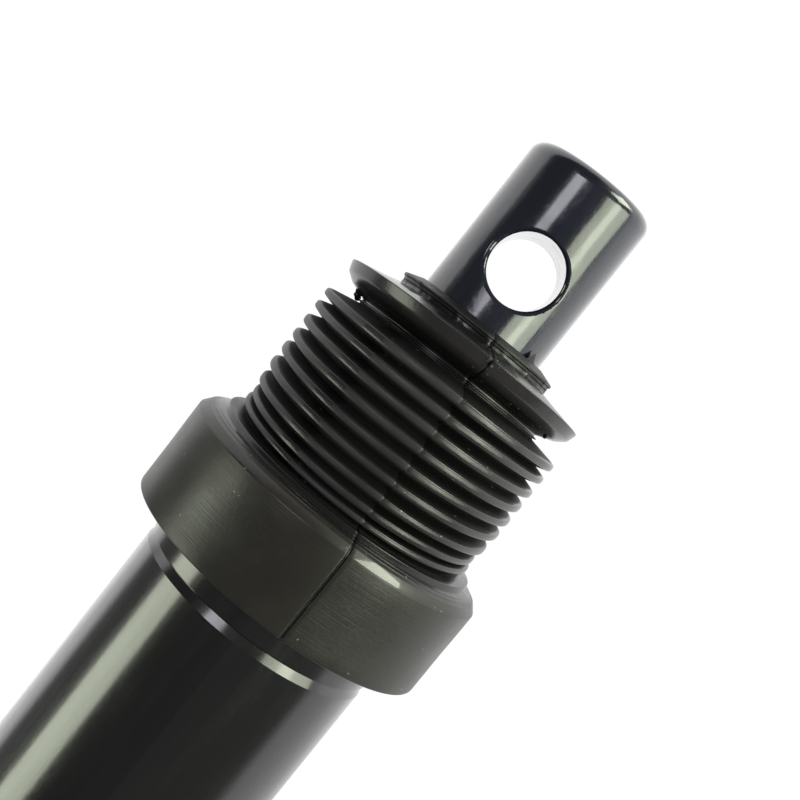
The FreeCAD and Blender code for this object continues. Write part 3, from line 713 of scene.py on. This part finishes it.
seal = plain_grain("seal_rubber", (0.012, 0.012, 0.012, 1), (0.02, 0.02, 0.02, 1), 0.42)
LATHE_LINES = (3000.0, 60.0, 60.0)
bronze = plain_grain("guide_bronze", (0.42, 0.27, 0.11, 1), (0.52, 0.35, 0.16, 1), 0.28, 1.0, LATHE_LINES)
turned = plain_grain("turned_steel", (0.42, 0.42, 0.43, 1), (0.55, 0.55, 0.56, 1), 0.26, 1.0, LATHE_LINES)
spring = plain_grain("spring_steel", (0.05, 0.05, 0.055, 1), (0.10, 0.10, 0.11, 1), 0.38, 1.0)
wearing = plain_grain("wear_plastic", (0.30, 0.19, 0.09, 1), (0.38, 0.26, 0.13, 1), 0.5)
for name in nodes:
    if name.startswith("packing") or name in ("wiper_ring", "gland_o_ring"):
        wear(nodes[name], seal)
wear(nodes["guide_bushing"], bronze)
wear(nodes["stop_collar"], turned)
wear(nodes["stop_wear_ring"], wearing)
for name in ("guide_snap_ring", "stop_snap_ring_inner", "stop_snap_ring_outer"):
    wear(nodes[name], spring)
print("inner finishes:", [finish.name for finish in (seal, bronze, turned, spring, wearing)])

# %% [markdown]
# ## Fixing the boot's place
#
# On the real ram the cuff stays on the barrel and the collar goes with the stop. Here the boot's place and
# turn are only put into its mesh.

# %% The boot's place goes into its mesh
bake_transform(boot)

# %% [markdown]
# ## Floor, light and camera
#
# The photograph has a pure white ground. The ram is lit like a small product: a window on the left, a box
# on the right with a brighter core, a square lamp above and a low one in front. The white ground shows in the
# steep sides of the tubes, but it is darker far off on the left, as behind a real table's edge.


# %% Floor
FLOOR_HEIGHT = -0.0370
GLOW = 1.03


def stage_floor():
    deselect_all()
    bpy.ops.mesh.primitive_plane_add(size=8.0, location=(0.15, 0, FLOOR_HEIGHT))
    floor = bpy.context.active_object
    floor.name = "floor"
    bpy.ops.object.transform_apply(location=True)
    material, tree, shader = new_tree("floor_white")
    shader.inputs["Base Color"].default_value = (0.9, 0.9, 0.9, 1)
    shader.inputs["Roughness"].default_value = 0.9
    along, across, _ = split_place(tree, add(tree, "ShaderNodeTexCoord").outputs["Object"])
    far_left = ramp(tree, across, 0.085, 0.135, 0.0, 0.85)
    near_right = ramp(tree, across, 0.0, -0.03, 0.0, 0.28)
    left_dark = maths(tree, "MULTIPLY", ramp(tree, along, 0.245, 0.20), far_left)
    right_dim = maths(tree, "MULTIPLY", ramp(tree, along, 0.235, 0.165), near_right)
    path = add(tree, "ShaderNodeLightPath")
    seen, mirrored = path.outputs["Is Camera Ray"], path.outputs["Is Glossy Ray"]
    missing = maths(tree, "MULTIPLY", maths(tree, "ADD", left_dark, right_dim), mirrored)
    glow = add(tree, "ShaderNodeEmission")
    feed(tree, maths(tree, "SUBTRACT", GLOW, missing), glow.inputs["Strength"])
    blend = add(tree, "ShaderNodeMixShader")
    feed(tree, maths(tree, "MAXIMUM", maths(tree, "MULTIPLY", seen, 0.97), mirrored), blend.inputs[0])
    tree.links.new(shader.outputs[0], blend.inputs[1])
    tree.links.new(glow.outputs[0], blend.inputs[2])
    tree.links.new(blend.outputs[0], tree.nodes["Material Output"].inputs[0])
    wear(floor, material)


stage_floor()
print("floor laid at", FLOOR_HEIGHT)

# %% [markdown]
# The room is white where the camera looks past the floor. In reflections it is dim, and it falls off with
# height, more slowly on the right.


# %% World
def studio_world():
    world = bpy.data.worlds.new("studio")
    bpy.context.scene.world = world
    world.use_nodes = True
    tree = world.node_tree
    background = tree.nodes["Background"]
    _, across, up = split_place(tree, add(tree, "ShaderNodeTexCoord").outputs["Generated"])
    left = ramp(tree, up, 0.0, 0.10, 0.45, 0.09)
    right = ramp(tree, up, 0.0, 0.22, 0.80, 0.13)
    to_right = ramp(tree, across, 0.15, -0.15)
    ceiling = maths(tree, "MULTIPLY_ADD", maths(tree, "SUBTRACT", right, left), to_right, left)
    path = add(tree, "ShaderNodeLightPath")
    level = maths(tree, "MAXIMUM", ceiling, path.outputs["Is Camera Ray"])
    feed(tree, level, background.inputs["Strength"])
    background.inputs["Color"].default_value = (1, 1, 1, 1)


studio_world()
print("world:", bpy.context.scene.world.name)

# %% [markdown]
# Each lamp is told by its place, the point it looks at, its width and height, and how bright its face is.


# %% Soft boxes
def soft_box(name, place, aim, width, height, brightness, colour):
    """A rectangular lamp; its brightness is that of its face, so its power grows with its area."""
    deselect_all()
    bpy.ops.object.light_add(type="AREA", location=place)
    lamp = bpy.context.active_object
    lamp.name = name
    lamp.data.shape = "RECTANGLE"
    lamp.data.size = width
    lamp.data.size_y = height
    lamp.data.energy = brightness * width * height * math.pi
    lamp.data.color = colour
    away = Vector(place) - Vector(aim)
    lamp.rotation_euler = away.to_track_quat("Z", "Y").to_euler()


GREENISH = (0.93, 1.0, 0.80)
LAVENDER = (0.93, 0.92, 1.0)
soft_box("window_left", (-0.16, 0.86, 0.285), (0.21, 0, 0.02), 0.50, 0.42, 3.8, GREENISH)
soft_box("box_right", (0.37, -0.64, 0.46), (0.31, 0, 0), 0.42, 0.70, 3.5, GREENISH)
soft_box("box_core", (0.37, -0.60, 0.47), (0.31, 0, 0), 0.40, 0.18, 3.0, GREENISH)
soft_box("patch_above", (0.46, 0.39, 0.90), (0.32, 0, 0), 0.30, 0.30, 4.4, LAVENDER)
soft_box("low_front", (0.74, -0.32, 0.13), (0.25, 0, 0.03), 0.22, 0.32, 7.0, GREENISH)

# %% [markdown]
# The camera looks down on the boot from the rod's side, at the place that was fitted to the photograph.

# %% Camera at the photograph's angle
camera_data = bpy.data.cameras.new("camera")
camera = bpy.data.objects.new("camera", camera_data)
bpy.context.scene.collection.objects.link(camera)
camera_data.sensor_width = 36.0
camera_data.lens = 57.61
camera_data.clip_start = 0.01
right = Vector((0.6197, -0.7835, -0.0452)).normalized()
back = Vector((0.0794, 0.0053, 0.9968))
back = (back - right * back.dot(right)).normalized()
up = back.cross(right)
turn = Matrix((right, up, back)).transposed().to_4x4()
camera.matrix_world = Matrix.Translation((0.2946, 0.0052, 0.27205)) @ turn
bpy.context.scene.camera = camera
print("camera at", tuple(round(value, 4) for value in camera.matrix_world.translation))
bpy.context.scene.view_settings.view_transform = "Standard"
